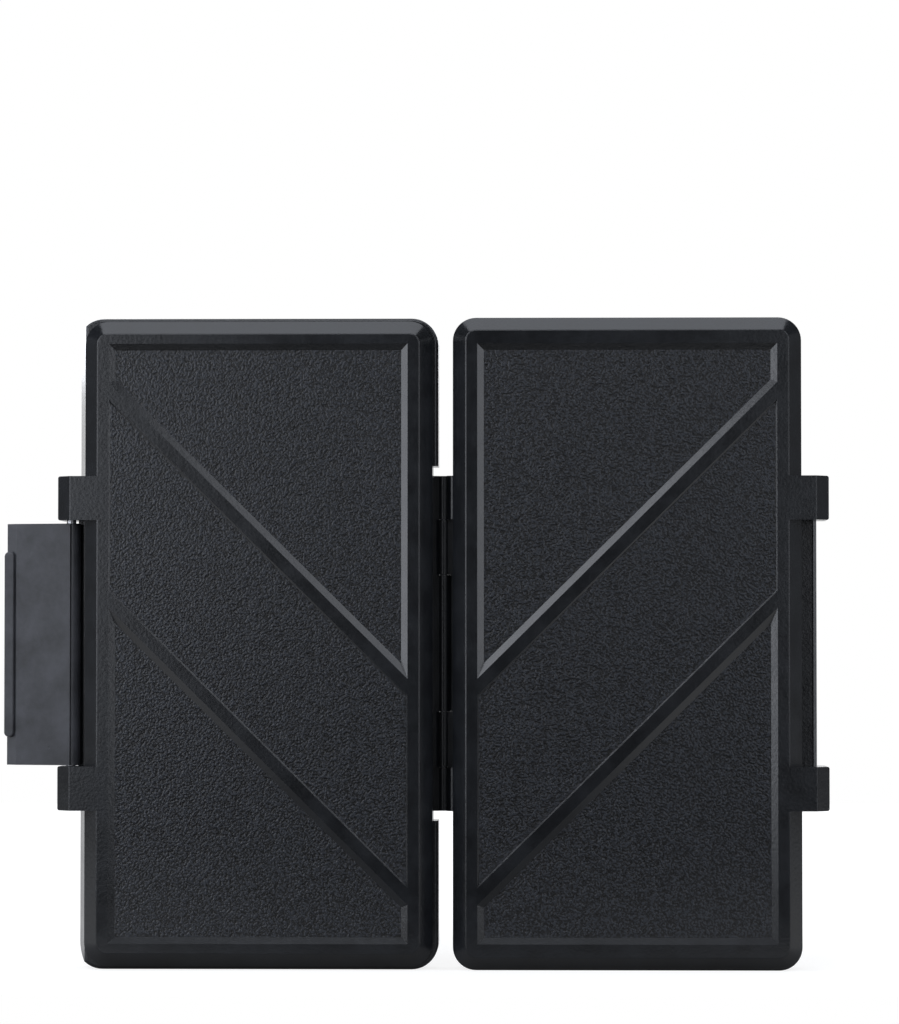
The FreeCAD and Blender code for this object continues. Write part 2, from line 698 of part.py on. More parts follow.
def make_latch(doc, s):
    """The pivoting latch in its own frame: pin axis at zero, plate towards -X, outer face towards -Y."""
    body = new_body(doc, "latch")
    half = s.ear_start - s.latch_end_gap
    front = -s.latch_barrel_radius
    back = s.latch_plate_thickness - s.latch_barrel_radius
    bevel_start = s.latch_end_bevel_run - s.latch_plate_length

    barrel = section_sketch(body, "barrel_section", -half)
    circle_at(barrel, s.latch_barrel_radius)
    pad(body, "barrel", barrel, half * 2)
    plate = section_sketch(body, "plate_section", -half)
    polygon(plate, [(s.latch_groove_offset, front), (bevel_start, front),
                    (-s.latch_plate_length, front + s.latch_end_bevel_drop),
                    (-s.latch_plate_length, back), (s.latch_groove_offset, back)])
    pad(body, "plate", plate, half * 2)
    groove = section_sketch(body, "groove_section", half + s.overrun)
    groove_end = s.latch_groove_offset + s.latch_groove_width
    groove_floor = front + s.latch_groove_depth
    polygon(groove, [(s.latch_groove_offset, groove_floor), (s.latch_groove_offset, front - s.overrun),
                     (groove_end, front - s.overrun), (groove_end, groove_floor)])
    pocket(body, "groove", groove, (half + s.overrun) * 2, along_normal=False)
    bevel_line = edges_where(body.Shape, lambda edge: lies_at(edge, "x", bevel_start, s.tolerance))
    dress_edges(body, "Fillet", "bevel_round", bevel_line, s.latch_edge_round)

    catch = s.latch_pin_level + s.rail_far_level + s.hook_gap
    hook = section_sketch(body, "hook_section", -half)
    tip = s.latch_pin_out - s.hook_tip_reach
    polygon(hook, [(-catch, back), (-catch, tip), (-catch - s.hook_width / 2, tip),
                   (-catch - s.hook_width, back)])
    pad(body, "hook", hook, half * 2)

    lip = face_sketch(body, "thumb_lip_outline", s.latch_barrel_radius - s.latch_plate_thickness)
    lip_left = -s.latch_plate_length - s.thumb_lip_overhang
    rounded_rectangle(lip, lip_left, lip_left + s.thumb_lip_width, -s.thumb_lip_length / 2,
                      s.thumb_lip_length / 2, s.thumb_lip_corner)
    lip_height = s.latch_plate_thickness + s.thumb_lip_rise
    pad(body, "thumb_lip", lip, lip_height)
    lip_front = -s.latch_barrel_radius - s.thumb_lip_rise
    lip_edges = edges_where(body.Shape, lambda edge: lies_at(edge, "y", lip_front, s.tolerance))
    dress_edges(body, "Fillet", "thumb_lip_round", lip_edges, s.thumb_lip_round)

    gate = face_sketch(body, "gate_mark_outline", s.latch_barrel_radius)
    circle_at(gate, s.gate_mark_radius, -s.gate_mark_from_pin, s.gate_mark_from_end - half)
    pocket(body, "gate_mark", gate, s.gate_mark_depth, along_normal=False)
    bore_end = half + s.overrun
    bore = section_sketch(body, "bore_section", bore_end)
    circle_at(bore, s.latch_pin_radius + s.running_clearance)
    pocket(body, "bore", bore, bore_end * 2, along_normal=False)
    return body


def stand_on_origin(bodies):
    """Move the whole case so that its box stands on Z zero, centred in X and Y."""
    box = FreeCAD.BoundBox()
    for body in bodies:
        box.add(body.Shape.optimalBoundingBox(False, False))
    shift = FreeCAD.Placement(FreeCAD.Vector(-box.Center.x, -box.Center.y, -box.ZMin), FreeCAD.Rotation())
    for body in bodies:
        body.Placement = shift * body.Placement
    return shift.Base


def check(doc, bodies):
    doc.recompute()
    for item in doc.Objects:
        if {"Invalid", "Error"} & set(item.State):
            raise RuntimeError(f"{item.Label} failed: {item.State}")
    for body in bodies:
        if body.Shape.isNull() or not body.Shape.isValid():
            raise RuntimeError(f"{body.Label} has no valid shape")


def main():
    doc = FreeCAD.newDocument("memory_card_case")
    s = derive(fill_sheet(doc))
    pin_low = s.base_knuckle_start - s.knuckle_gap - s.pin_engagement
    pin_high = s.lid_knuckle_end - s.pin_recess
    latch_pin_half = s.ear_end - s.pin_recess
    base_shell = make_base_shell(doc, s)
    lid_shell = make_lid_shell(doc, s)
    latch = make_latch(doc, s)
    latch_pin = make_pin(doc, "latch_pin", s, s.latch_pin_radius, -latch_pin_half, latch_pin_half * 2)
    bodies = [
        base_shell, lid_shell, latch, latch_pin,
        make_pin(doc, "hinge_pin_upper", s, s.hinge_pin_radius, pin_low, pin_high - pin_low),
        make_pin(doc, "hinge_pin_lower", s, s.hinge_pin_radius, -pin_high, pin_high - pin_low),
        make_seal_ring(doc, s),
        make_card_tray(doc, "base_card_tray", s, BASE_SIDE),
        make_card_tray(doc, "lid_card_tray", s, LID_SIDE),
    ]
    pivot = FreeCAD.Vector(-s.latch_pin_reach.value, -s.latch_pin_level.value, 0)
    up = FreeCAD.Vector(0, 0, 1)
    latch.Placement = FreeCAD.Placement(pivot - up * s.latch_drop.value,
                                        FreeCAD.Rotation(up, -s.latch_rest_tilt.value))
    latch_pin.Placement = FreeCAD.Placement(pivot, FreeCAD.Rotation())
    check(doc, bodies)
    shift = stand_on_origin(bodies)
    check(doc, bodies)

    os.makedirs("parts", exist_ok=True)
    for body in bodies:
        body.Shape.exportStep(f"parts/{body.Label}.step")
        print(f"{body.Label}: {len(body.Shape.Solids)} solid, {body.Shape.Volume:.1f} mm3")
    print("hinge axis at mid length:", shift)
    print("latch axis at mid length:", pivot + shift)


main()
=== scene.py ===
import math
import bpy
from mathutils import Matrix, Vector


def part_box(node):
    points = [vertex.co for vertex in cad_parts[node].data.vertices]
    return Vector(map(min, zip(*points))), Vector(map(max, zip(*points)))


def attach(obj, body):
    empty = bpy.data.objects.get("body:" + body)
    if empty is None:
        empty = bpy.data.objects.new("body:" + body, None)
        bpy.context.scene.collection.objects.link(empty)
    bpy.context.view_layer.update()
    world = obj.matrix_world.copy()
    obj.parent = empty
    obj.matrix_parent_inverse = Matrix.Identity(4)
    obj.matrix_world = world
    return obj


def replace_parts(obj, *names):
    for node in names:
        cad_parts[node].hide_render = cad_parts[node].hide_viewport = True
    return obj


bl_info = {
    "name": "Memory card case",
    "version": (1, 0, 0),
    "blender": (4, 5, 0),
    "location": "View3D > Sidebar > Card case",
    "description": "Finishes the packed memory card case and sets it on a white studio floor",
    "category": "Object",
}

from collections import namedtuple

import bmesh
import bpy
from bpy.props import FloatProperty, FloatVectorProperty, IntProperty, PointerProperty
from mathutils import Vector

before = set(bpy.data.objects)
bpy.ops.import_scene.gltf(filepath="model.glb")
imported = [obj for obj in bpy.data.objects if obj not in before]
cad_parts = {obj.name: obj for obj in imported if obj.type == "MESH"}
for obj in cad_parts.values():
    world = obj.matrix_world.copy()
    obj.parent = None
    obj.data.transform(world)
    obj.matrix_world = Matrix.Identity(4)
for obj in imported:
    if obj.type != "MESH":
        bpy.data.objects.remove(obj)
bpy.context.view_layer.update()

MM = 0.001

# The image is 899 x 1024, and the lens is worked out on its longer side.
PHOTO_HEIGHT = 1024
SENSOR_WIDTH = 36.0
CAMERA_CLIP = 0.01

# The case as it was moulded. The outer faces look towards -Y, and the panels lie a little below them.
OUTER_FACE_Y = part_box("lid_shell")[0].y
PANEL_SINK_LEAST = 0.15 * MM
PANEL_SINK_MOST = 1.2 * MM
FLAT_FACING = -0.97

# The trays' meshes: points and faces that count as one, and edges that get the moulded rounding.
WELD_DISTANCE = 0.002 * MM
FLAT_ANGLE = math.radians(1.0)
ROUNDED_ANGLE = math.radians(35)

# The seal's section, and the corner of its outer edge, as the lid's groove gives them.
SEAL_WIDTH = 1.2 * MM
SEAL_CORNER = 3.6 * MM
SEAL_SIDE_SHARE = 0.4

# Noise is read at a slant, because its own lattice shows on faces that lie along it.
NOISE_TURN = (0.5, 0.7, 0.4)
# Noise stays near its middle, so these levels of it are full painted shade in the grain's pits
# and full painted light on its peaks, and clean and hazy.
SHADED_PIT_LEVEL = 0.44
LIT_PEAK_LEVEL = 0.6
HAZE_CLEAN = 0.35
HAZE_FULL = 0.65
# The tone of clean and of hazy plastic, as shares of its body colour.
SHELL_TONES = (0.8, 1.5)
LATCH_TONES = (0.75, 1.5)
ABS_IOR = 1.53
ACETAL_IOR = 1.48

# Soft rubber: the skin from the mould, and the bloom that lightens it and changes its roughness.
RUBBER_IOR = 1.42
SKIN_SIZE = 0.4 * MM
SKIN_DEPTH = 0.012 * MM
BLOOM_GAIN = 1.5
BLOOM_DUST = 0.004
BLOOM_ROUGHNESS = 0.08

# Drawn wire: lines along the pin, which stands along Z.
WIRE_LINE = 0.15 * MM
WIRE_DEPTH = 0.004 * MM
WIRE_STRETCH = (1.0, 1.0, 0.02)
WIRE_SLICK = 0.22
WIRE_DULL = 0.42

# A Mix node has sockets of every type. These are its two colours and its colour result.
FIRST_COLOUR, SECOND_COLOUR, MIXED_COLOUR = 6, 7, 2

# The paper's reach to the sides, to the front and to the back.
FLOOR_REACH = (0.6, 0.06, 0.8)
# The open case stands on a long, narrow foot, so the floor's shade is drawn out along X.
FOOTPRINT_SHAPE = (0.6, 1.0, 1.0)
# Mirrored rays reach the lit background where they point along +Y by these shares and more.
BACKGROUND_START = 0.5
BACKGROUND_FULL = 0.8

# Soft lamps round the case: where each stands, how large it is, and its radiance.
Softbox = namedtuple("Softbox", "name place width height radiance")
CASE_MIDDLE = (0.0, 0.0, 0.06)
DAYLIGHT = (0.94, 0.98, 1.06)
SOFTBOXES = (
    Softbox("front_left_softbox", (-0.265, -0.75, 0.16), 0.25, 0.32, 2.0),
    Softbox("front_right_softbox", (0.275, -0.75, 0.16), 0.25, 0.32, 1.4),
    Softbox("front_top_softbox", (-0.05, -0.55, 0.55), 0.4, 0.3, 3.1),
    Softbox("left_softbox", (-0.45, -0.19, 0.16), 0.16, 0.32, 3.7),
    Softbox("right_softbox", (0.45, -0.19, 0.16), 0.16, 0.32, 2.2),
    Softbox("upper_left_softbox", (-0.33, -0.19, 0.4), 0.17, 0.2, 3.7),
    Softbox("upper_right_softbox", (0.33, -0.19, 0.4), 0.17, 0.2, 2.2),
    Softbox("upper_softbox", (-0.08, -0.2, 0.5), 0.4, 0.14, 0.45),
    Softbox("left_key_softbox", (-0.26, -0.36, 0.14), 0.12, 0.28, 2.2),
    Softbox("overhead_softbox", (0.0, 0.0, 0.5), 0.5, 0.26, 1.75),
    Softbox("left_edge_softbox", (-0.5, 0.03, 0.16), 0.2, 0.3, 0.17),
    Softbox("right_edge_softbox", (0.5, 0.03, 0.16), 0.2, 0.3, 0.2),
    Softbox("back_left_softbox", (-0.35, 0.7, 0.35), 0.5, 0.4, 2.6),
    Softbox("back_right_softbox", (0.35, 0.7, 0.35), 0.5, 0.4, 2.6),
)


def linear(hex_colour):
    """An sRGB hex colour as linear RGB with full alpha."""
    channels = [int(hex_colour[start:start + 2], 16) / 255 for start in (1, 3, 5)]
    return [c / 12.92 if c <= 0.04045 else ((c + 0.055) / 1.055) ** 2.4 for c in channels] + [1.0]


def colour_property(name, description, hex_colour):
    return FloatVectorProperty(name=name, description=description, subtype="COLOR", size=4,
                               min=0.0, max=1.0, default=linear(hex_colour))


def length_property(name, description, millimetres):
    return FloatProperty(name=name, description=description, unit="LENGTH", min=0.0,
                         default=millimetres * MM)


def share_property(name, description, default):
    return FloatProperty(name=name, description=description, subtype="FACTOR", min=0.0, max=1.0,
                         default=default)


class CardCaseShellSettings(bpy.types.PropertyGroup):
    """Finish of the two shells."""

    colour: colour_property("Colour", "Body colour of the moulded shells", "#15171a")
    # The grain's pit and peak colours are painted shade in the pits and painted light on the peaks, darker
    # and lighter than the body colour.
    pit_shade_colour: colour_property("Grain pits", "Colour in the pits of the panels' grain", "#010102")
    peak_light_colour: colour_property("Grain peaks", "Colour of the peaks of the panels' grain", "#282b31")
    # The real grain and satin may be finer. They are as coarse as a picture of the whole case needs.
    grain_size: length_property("Grain size", "Width of one pebble of the panels' grain", 0.4)
    grain_depth: length_property("Grain depth", "Height of the panels' grain", 0.1)
    satin_size: length_property("Satin size", "Width of the fine texture on rims and ridges", 0.55)
    satin_depth: length_property("Satin depth", "Height of that fine texture", 0.014)
    panel_roughness: share_property("Panel roughness", "Roughness of the grained panels", 0.28)
    rim_roughness: share_property("Rim roughness", "Roughness of rims, ridges and walls", 0.185)
    haze_size: length_property("Haze size", "Width of the hazy patches that handling leaves", 6.0)
    haze_roughness: share_property("Haze roughness", "How much rougher the haziest patches are", 0.05)


class CardCaseLatchSettings(bpy.types.PropertyGroup):
    """Finish of the latch."""

    colour: colour_property("Colour", "Body colour of the moulded latch", "#38393d")
    roughness: share_property("Roughness", "Roughness of the latch's satin faces", 0.32)
    haze_roughness: share_property("Haze roughness", "How much rougher its haziest patches are", 0.1)


class CardCaseInsideSettings(bpy.types.PropertyGroup):
    """Finish and edges of the trays, the seal and the pins."""

    tray_colour: colour_property("Tray colour", "Colour of the elastomer card trays", "#27272a")
    tray_roughness: share_property("Tray roughness", "Roughness of the card trays", 0.68)
    seal_colour: colour_property("Seal colour", "Colour of the silicone seal", "#3b3c3f")
    seal_roughness: share_property("Seal roughness", "Roughness of the seal", 0.55)
    steel_colour: colour_property("Pin colour", "Colour of the steel pins", "#b9babc")
    tray_edge: length_property("Tray edge", "Radius of the trays' moulded edges", 0.35)
    edge_steps: IntProperty(name="Edge steps", description="Facets across a rounded edge", min=1, default=3)
    corner_steps: IntProperty(name="Corner steps", description="Facets round a corner of the seal", min=2,
                              default=8)
    crown_steps: IntProperty(name="Crown steps", description="Facets across the seal's crown", min=3,
                             default=10)
    bloom_size: length_property("Bloom size", "Width of the dusty patches on the elastomer", 6.0)


class CardCaseStageSettings(bpy.types.PropertyGroup):
    """Camera, lamps and floor."""

    camera_place: FloatVectorProperty(name="Camera place", description="Where the camera stands",
                                      subtype="TRANSLATION", unit="LENGTH", size=3,
                                      default=(0.02422, -0.78535, 0.06025))
    camera_turn: FloatVectorProperty(name="Camera turn", description="Which way the camera looks",
                                     subtype="EULER", size=3,
                                     default=(math.radians(91.778), 0.0, math.radians(1.294)))
    focal_length: FloatProperty(name="Focal length in pixels", description="Focal length on the full image",
                                min=1.0, default=4226.8)
    studio_light: FloatProperty(name="Studio light", description="Radiance of the dim studio all round",
                                min=0.0, default=0.05)
    floor_colour: colour_property("Floor", "Colour of the paper floor under the lamps", "#909090")
    near_glow: FloatProperty(name="Glow near the case", min=0.0, default=0.82,
                             description="How much of the floor's white isn't shaded beside the case")
    near_reach: length_property("Near reach", "How far from the case's middle that glow holds", 70)
    far_reach: length_property("Far reach", "Where the floor is plain white", 140)
    near_sheen: FloatProperty(name="Sheen near the case", min=0.0, default=0.1,
                              description="How much of the shaded floor's white the plastic mirrors")
    far_sheen: FloatProperty(name="Sheen further off", min=0.0, default=0.5,
                             description="How much of the plain floor's white the plastic mirrors")
    shade_start: length_property("Shade start", "How far from the case the mirrored floor is shaded", 35)
    shade_end: length_property("Shade end", "Where that shade ends", 70)


class CardCaseSettings(bpy.types.PropertyGroup):
    """All settings of the case."""

    shells: PointerProperty(type=CardCaseShellSettings)
    latch: PointerProperty(type=CardCaseLatchSettings)
    inside: PointerProperty(type=CardCaseInsideSettings)
    stage: PointerProperty(type=CardCaseStageSettings)


def add_node(tree, kind, inputs=None, **settings):
    """Add a node with its settings. An input is a plain value, or another node's output to link."""
    node = tree.nodes.new(kind)
    for name, value in settings.items():
        setattr(node, name, value)
    for key, value in (inputs or {}).items():
        if isinstance(value, bpy.types.NodeSocket):
            tree.links.new(value, node.inputs[key])
        else:
            node.inputs[key].default_value = value
    return node


def new_material(name):
    """A node material with nothing in it, and its node tree."""
    material = bpy.data.materials.new(name)
    material.use_nodes = True
    material.node_tree.nodes.clear()
    return material, material.node_tree


def wear(node_name, material):
    """Give a CAD node the material in place of its packed one."""
    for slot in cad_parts[node_name].material_slots:
        slot.material = material


def satin_normal(tree, vector, shells):
    """The normal of the fine texture that the mould leaves on smooth plastic."""
    satin = add_node(tree, "ShaderNodeTexNoise",
                     {"Vector": vector, "Scale": 1 / shells.satin_size, "Detail": 1.0})
    bump = add_node(tree, "ShaderNodeBump",
                    {"Height": satin.outputs["Fac"], "Strength": 1.0, "Distance": shells.satin_depth})
    return bump.outputs["Normal"]


def hazy_satin(tree, vector, size, colour, tones, roughness):
    """Colour and roughness of smooth plastic, uneven in the patches that hands leave on it.
    The tones and the roughness are those of a clean patch and of a hazy one."""
    patches = add_node(tree, "ShaderNodeTexNoise",
                       {"Vector": vector, "Scale": 1 / size, "Detail": 5.0, "Roughness": 0.65})
    haze = add_node(tree, "ShaderNodeMapRange",
                    {"Value": patches.outputs["Fac"], "From Min": HAZE_CLEAN, "From Max": HAZE_FULL})
    share = add_node(tree, "ShaderNodeMapRange",
                     {"Value": haze.outputs[0], "To Min": tones[0], "To Max": tones[1]})
    tone = add_node(tree, "ShaderNodeVectorMath", {0: colour[:3], "Scale": share.outputs[0]},
                    operation="SCALE")
    dulled = add_node(tree, "ShaderNodeMapRange",
                      {"Value": haze.outputs[0], "To Min": roughness[0], "To Max": roughness[1]})
    return tone.outputs[0], dulled.outputs[0]


def sunk_panel(tree, coords):
    """1 on the flat floors of the sunk panels in the outer faces, and 0 everywhere else."""
    place = add_node(tree, "ShaderNodeSeparateXYZ", {0: coords.outputs["Object"]})
    facing = add_node(tree, "ShaderNodeSeparateXYZ", {0: coords.outputs["Normal"]})
    below_rim = add_node(tree, "ShaderNodeMath",
                         {0: place.outputs["Y"], 1: OUTER_FACE_Y + PANEL_SINK_LEAST},
                         operation="GREATER_THAN")
    near_rim = add_node(tree, "ShaderNodeMath",
                        {0: place.outputs["Y"], 1: OUTER_FACE_Y + PANEL_SINK_MOST},
                        operation="LESS_THAN")
    flat = add_node(tree, "ShaderNodeMath", {0: facing.outputs["Y"], 1: FLAT_FACING}, operation="LESS_THAN")
    sunk = add_node(tree, "ShaderNodeMath", {0: below_rim.outputs[0], 1: near_rim.outputs[0]},
                    operation="MULTIPLY")
    panel = add_node(tree, "ShaderNodeMath", {0: sunk.outputs[0], 1: flat.outputs[0]}, operation="MULTIPLY")
    return panel.outputs[0]


def shell_plastic(settings):
    """Injection-moulded ABS, near black: a pebbled grain from the eroded mould on the sunk panels,
    and a fine, slightly hazy satin on rims, ridges, ears and walls, so only the panels sparkle.
    The grain's colour is darker in its pits and lighter on its peaks: painted shade and painted light of
    the relief."""
    material, tree = new_material("abs_black_moulded_grain")
    coords = add_node(tree, "ShaderNodeTexCoord")
    panel = sunk_panel(tree, coords)
    turned = add_node(tree, "ShaderNodeMapping",
                      {"Vector": coords.outputs["Object"], "Rotation": NOISE_TURN})
    grain = add_node(tree, "ShaderNodeTexNoise",
                     {"Vector": turned.outputs[0], "Scale": 1 / settings.grain_size, "Detail": 1.0})
    bump = add_node(tree, "ShaderNodeBump",
                    {"Height": grain.outputs["Fac"], "Strength": panel, "Distance": settings.grain_depth,
                     "Normal": satin_normal(tree, turned.outputs[0], settings)})
    # The grain's colour follows its height: painted shade in the pits and painted light on the peaks, on
    # top of the bump's own shading.
    relief_shade = add_node(tree, "ShaderNodeMapRange",
                     {"Value": grain.outputs["Fac"], "From Min": SHADED_PIT_LEVEL, "From Max": LIT_PEAK_LEVEL})
    shaded_grain = add_node(tree, "ShaderNodeMix",
                       {0: relief_shade.outputs[0], FIRST_COLOUR: settings.pit_shade_colour,
                        SECOND_COLOUR: settings.peak_light_colour}, data_type="RGBA")
    smooth, satin_roughness = hazy_satin(
        tree, coords.outputs["Object"], settings.haze_size, settings.colour, SHELL_TONES,
        (settings.rim_roughness, settings.rim_roughness + settings.haze_roughness))
    colour = add_node(tree, "ShaderNodeMix",
                      {0: panel, FIRST_COLOUR: smooth, SECOND_COLOUR: shaded_grain.outputs[MIXED_COLOUR]},
                      data_type="RGBA")
    roughness = add_node(tree, "ShaderNodeMapRange",
                         {"Value": panel, "To Min": satin_roughness, "To Max": settings.panel_roughness})
    shader = add_node(tree, "ShaderNodeBsdfPrincipled",
                      {"Base Color": colour.outputs[MIXED_COLOUR], "Roughness": roughness.outputs[0],
                       "IOR": ABS_IOR, "Normal": bump.outputs["Normal"]})
    add_node(tree, "ShaderNodeOutputMaterial", {"Surface": shader.outputs[0]})
    return material


def latch_plastic(settings, shells):
    """Moulded acetal, near black and satin: a little lighter and duller than the shells, with the
    faint uneven haze of a part that thumbs rub."""
    material, tree = new_material("acetal_black_satin")
    coords = add_node(tree, "ShaderNodeTexCoord")
    tone, roughness = hazy_satin(
        tree, coords.outputs["Object"], shells.haze_size, settings.colour, LATCH_TONES,
        (settings.roughness, settings.roughness + settings.haze_roughness))
    shader = add_node(tree, "ShaderNodeBsdfPrincipled",
                      {"Base Color": tone, "Roughness": roughness, "IOR": ACETAL_IOR,
                       "Normal": satin_normal(tree, coords.outputs["Object"], shells)})
    add_node(tree, "ShaderNodeOutputMaterial", {"Surface": shader.outputs[0]})
    return material


def soft_rubber(name, colour, bloom_size, roughness):
    """Moulded elastomer: matt, with the faint dusty bloom that soft rubber gathers."""
    material, tree = new_material(name)
    coords = add_node(tree, "ShaderNodeTexCoord")
    bloom = add_node(tree, "ShaderNodeTexNoise",
                     {"Vector": coords.outputs["Object"], "Scale": 1 / bloom_size, "Detail": 4.0,
                      "Roughness": 0.6})
    dusty = [min(1.0, channel * BLOOM_GAIN + BLOOM_DUST) for channel in colour[:3]] + [1.0]
    tone = add_node(tree, "ShaderNodeMix",
                    {0: bloom.outputs["Fac"], FIRST_COLOUR: colour, SECOND_COLOUR: dusty}, data_type="RGBA")
    matt = add_node(tree, "ShaderNodeMapRange",
                    {"Value": bloom.outputs["Fac"], "To Min": roughness - BLOOM_ROUGHNESS,
                     "To Max": roughness + BLOOM_ROUGHNESS})
    skin = add_node(tree, "ShaderNodeTexNoise",
                    {"Vector": coords.outputs["Object"], "Scale": 1 / SKIN_SIZE, "Detail": 1.0})
    bump = add_node(tree, "ShaderNodeBump",
                    {"Height": skin.outputs["Fac"], "Strength": 1.0, "Distance": SKIN_DEPTH})
    shader = add_node(tree, "ShaderNodeBsdfPrincipled",
                      {"Base Color": tone.outputs[MIXED_COLOUR], "Roughness": matt.outputs[0],
                       "IOR": RUBBER_IOR, "Normal": bump.outputs["Normal"]})
    add_node(tree, "ShaderNodeOutputMaterial", {"Surface": shader.outputs[0]})
    return material


def drawn_steel(settings):
    """Drawn steel wire: bright metal with fine lines along the pin."""
    material, tree = new_material("steel_drawn_wire")
    coords = add_node(tree, "ShaderNodeTexCoord")
    stretched = add_node(tree, "ShaderNodeMapping",
                         {"Vector": coords.outputs["Object"], "Scale": WIRE_STRETCH})
    lines = add_node(tree, "ShaderNodeTexNoise",
                     {"Vector": stretched.outputs[0], "Scale": 1 / WIRE_LINE, "Detail": 2.0})
    roughness = add_node(tree, "ShaderNodeMapRange",
                         {"Value": lines.outputs["Fac"], "To Min": WIRE_SLICK, "To Max": WIRE_DULL})
    bump = add_node(tree, "ShaderNodeBump",
                    {"Height": lines.outputs["Fac"], "Strength": 1.0, "Distance": WIRE_DEPTH})
    shader = add_node(tree, "ShaderNodeBsdfPrincipled",
                      {"Base Color": settings.steel_colour, "Metallic": 1.0,
                       "Roughness": roughness.outputs[0], "Normal": bump.outputs["Normal"]})
    add_node(tree, "ShaderNodeOutputMaterial", {"Surface": shader.outputs[0]})
    return material


def new_piece(name, mesh, material, body):
    """Put a finished mesh in the scene as a piece that moves with a CAD body."""
    piece = bpy.data.objects.new(name, mesh)
    bpy.context.scene.collection.objects.link(piece)
    mesh.materials.clear()
    mesh.materials.append(material)
    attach(piece, body)
    return piece


def insert_mesh(node_name, name):
    """The outline of a moulded insert from its solid, with flat faces in one piece each."""
    work = bmesh.new()
    work.from_mesh(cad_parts[node_name].data)
    bmesh.ops.remove_doubles(work, verts=work.verts, dist=WELD_DISTANCE)
    bmesh.ops.dissolve_limit(work, angle_limit=FLAT_ANGLE, verts=work.verts, edges=work.edges)
    mesh = bpy.data.meshes.new(name)
    work.to_mesh(mesh)
    work.free()
    return mesh


class CASE_OT_shells(bpy.types.Operator):
    """Finish the base and lid shells in grained black ABS"""

    bl_idname = "card_case.shells"
    bl_label = "Finish shells"

    def execute(self, context):
        material = shell_plastic(context.scene.card_case.shells)
        for name in ("base_shell", "lid_shell"):
            wear(name, material)
        return {"FINISHED"}


class CASE_OT_latch(bpy.types.Operator):
    """Finish the latch in satin black acetal"""

    bl_idname = "card_case.latch"
    bl_label = "Finish latch"

    def execute(self, context):
        settings = context.scene.card_case
        wear("latch", latch_plastic(settings.latch, settings.shells))
        return {"FINISHED"}


class CASE_OT_pins(bpy.types.Operator):
    """Finish the hinge pins and the latch pin in drawn steel"""

    bl_idname = "card_case.pins"
    bl_label = "Finish pins"

    def execute(self, context):
        material = drawn_steel(context.scene.card_case.inside)
        for name in ("latch_pin", "hinge_pin_upper", "hinge_pin_lower"):
            wear(name, material)
        return {"FINISHED"}


class CASE_OT_trays(bpy.types.Operator):
    """Make the two card trays with the rounded edges of a soft moulding"""

    bl_idname = "card_case.trays"
    bl_label = "Make card trays"

    def execute(self, context):
        settings = context.scene.card_case.inside
        material = soft_rubber("elastomer_black_matt", settings.tray_colour, settings.bloom_size,
                               settings.tray_roughness)
        for body in ("base", "lid"):
            node_name = f"{body}_card_tray"
            mesh = insert_mesh(node_name, f"{body}_tray_moulding")
            piece = new_piece(f"{body}_tray_moulding", mesh, material, body)
            edge = piece.modifiers.new("moulded_edge", "BEVEL")
            edge.width = settings.tray_edge
            edge.segments = settings.edge_steps
            edge.limit_method = "ANGLE"
            edge.angle_limit = ROUNDED_ANGLE
            edge.harden_normals = True
            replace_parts(piece, node_name)
        return {"FINISHED"}


def ring_route(low, high, radius, steps):
    """Places round a rounded rectangle in X and Z, each with its outward direction."""
    corners = ((high.x, high.z), (low.x, high.z), (low.x, low.z), (high.x, low.z))
    inward = ((-1, -1), (1, -1), (1, 1), (-1, 1))
    for number, ((x, z), (turn_x, turn_z)) in enumerate(zip(corners, inward)):
        centre = Vector((x + turn_x * radius, 0.0, z + turn_z * radius))
        for step in range(steps + 1):
            angle = math.pi / 2 * (number + step / steps)
            outward = Vector((math.cos(angle), 0.0, math.sin(angle)))
            yield centre + outward * radius, outward


def seal_mesh(name, corner_steps, crown_steps):
    """A bead that fills the seal's groove: flat below, straight at the sides and crowned on top."""
    low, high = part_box("seal_ring")
    half = SEAL_WIDTH / 2
    side = (high.y - low.y) * SEAL_SIDE_SHARE
    crown = high.y - low.y - side
    section = [(half, low.y), (-half, low.y)]
    for step in range(crown_steps + 1):
        angle = math.pi * (1 - step / crown_steps)
        section.append((math.cos(angle) * half, low.y + side + math.sin(angle) * crown))
    work = bmesh.new()
    rows = []
    for place, outward in ring_route(low, high, SEAL_CORNER, corner_steps):
        middle = place - outward * half
        rows.append([work.verts.new(middle + outward * across + Vector((0.0, up, 0.0)))
                     for across, up in section])
    for row, following in zip(rows, rows[1:] + rows[:1]):
        for number in range(len(section)):
            beside = (number + 1) % len(section)
            work.faces.new((row[number], row[beside], following[beside], following[number]))
    bmesh.ops.recalc_face_normals(work, faces=work.faces)
    for face in work.faces:
        face.smooth = True
    mesh = bpy.data.meshes.new(name)
    work.to_mesh(mesh)
    work.free()
    return mesh


class CASE_OT_seal(bpy.types.Operator):
    """Make the crowned seal bead in grey silicone"""

    bl_idname = "card_case.seal"
    bl_label = "Make seal"

    def execute(self, context):
        settings = context.scene.card_case.inside
        material = soft_rubber("silicone_grey_matt", settings.seal_colour, settings.bloom_size,
                               settings.seal_roughness)
        mesh = seal_mesh("seal_bead", settings.corner_steps, settings.crown_steps)
        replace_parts(new_piece("seal_bead", mesh, material, "lid"), "seal_ring")
        return {"FINISHED"}


def hang_softbox(box):
    """A rectangular lamp that faces the case, with its power worked out from its radiance."""
    lamp = bpy.data.lights.new(box.name, "AREA")
    lamp.shape = "RECTANGLE"
    lamp.size = box.width
    lamp.size_y = box.height
    lamp.energy = math.pi * box.width * box.height * box.radiance
    lamp.color = DAYLIGHT
    holder = bpy.data.objects.new(box.name, lamp)
    holder.location = box.place
    holder.rotation_euler = (Vector(CASE_MIDDLE) - holder.location).to_track_quat("-Z", "Y").to_euler()
    holder.visible_camera = False
    bpy.context.scene.collection.objects.link(holder)


